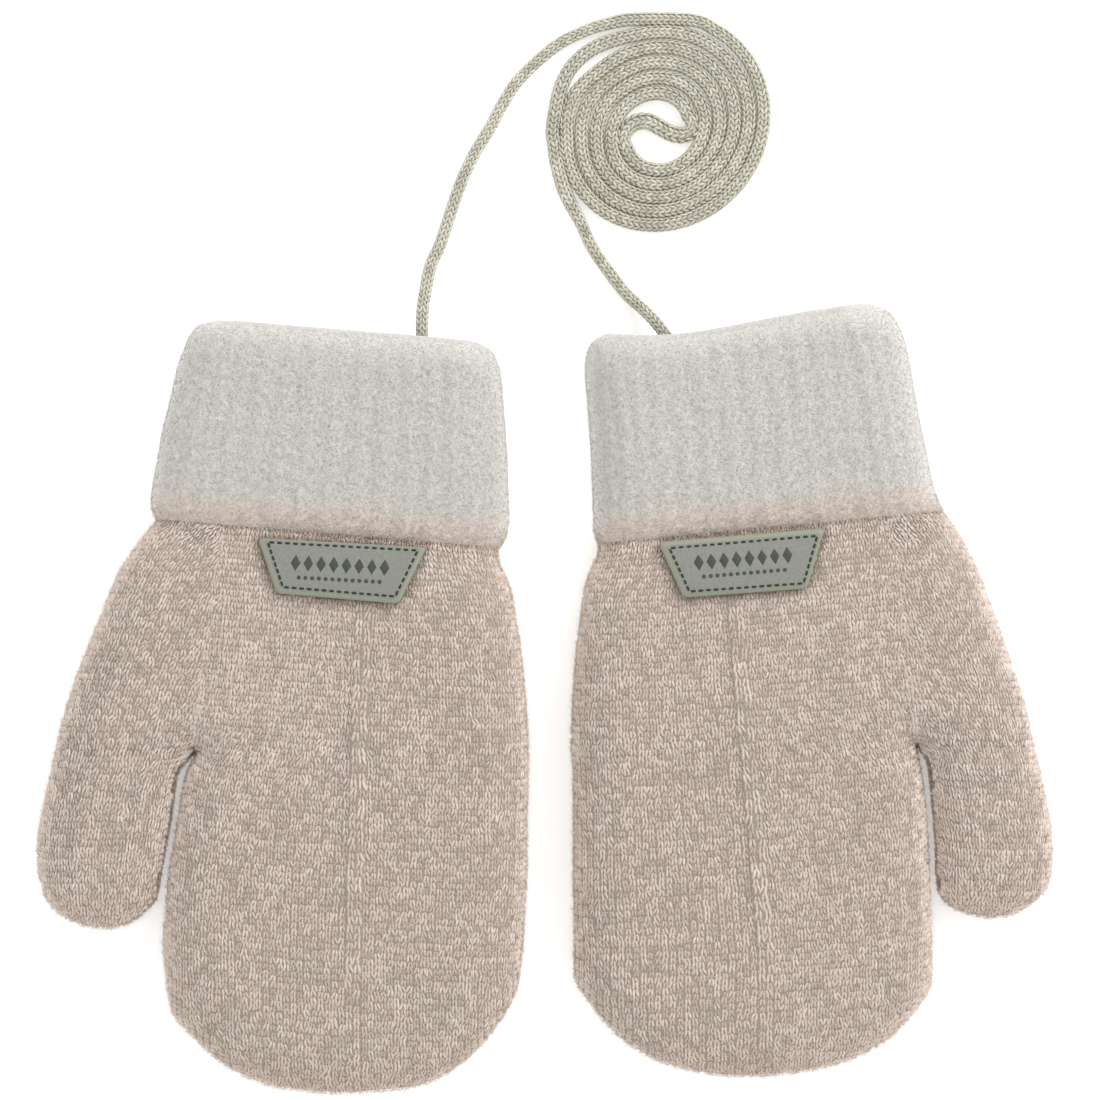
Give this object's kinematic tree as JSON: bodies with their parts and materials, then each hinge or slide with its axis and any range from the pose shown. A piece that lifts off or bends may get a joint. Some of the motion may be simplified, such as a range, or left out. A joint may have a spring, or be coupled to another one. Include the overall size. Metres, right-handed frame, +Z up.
{
  "type": "pair of baby mittens on a neck cord",
  "caption": "Pair of knitted baby mittens with thumbs, turned-up plush cuffs and sewn-on labels, joined cuff to cuff by a coiled neck cord, laid flat.",
  "frame": {"origin": "on the surface that the mittens lie on, under the middle of the two mittens, the cord left out", "axes": "+X across both mittens from the left one to the right one in the picture, +Y from the fingertips to the cuffs, +Z up from the surface"},
  "size_m": [0.1982, 0.211, 0.0143],
  "materials": {
    "knit": "heathered beige plain knit, softly brushed",
    "plush": "pale grey brushed plush knit",
    "label": "matt grey-green leatherette with dark stitching",
    "cord": "pale grey-green knitted cord"
  },
  "bodies": {
    "root": {"left_hand": "knit", "left_thumb": "knit", "left_cuff": "plush", "left_label": "label", "right_hand": "knit", "right_thumb": "knit", "right_cuff": "plush", "right_label": "label", "cord_coil": "cord", "cord_eye_bend": "cord", "cord_lead_left": "cord", "cord_lead_right": "cord"}
  },
  "joints": []
}
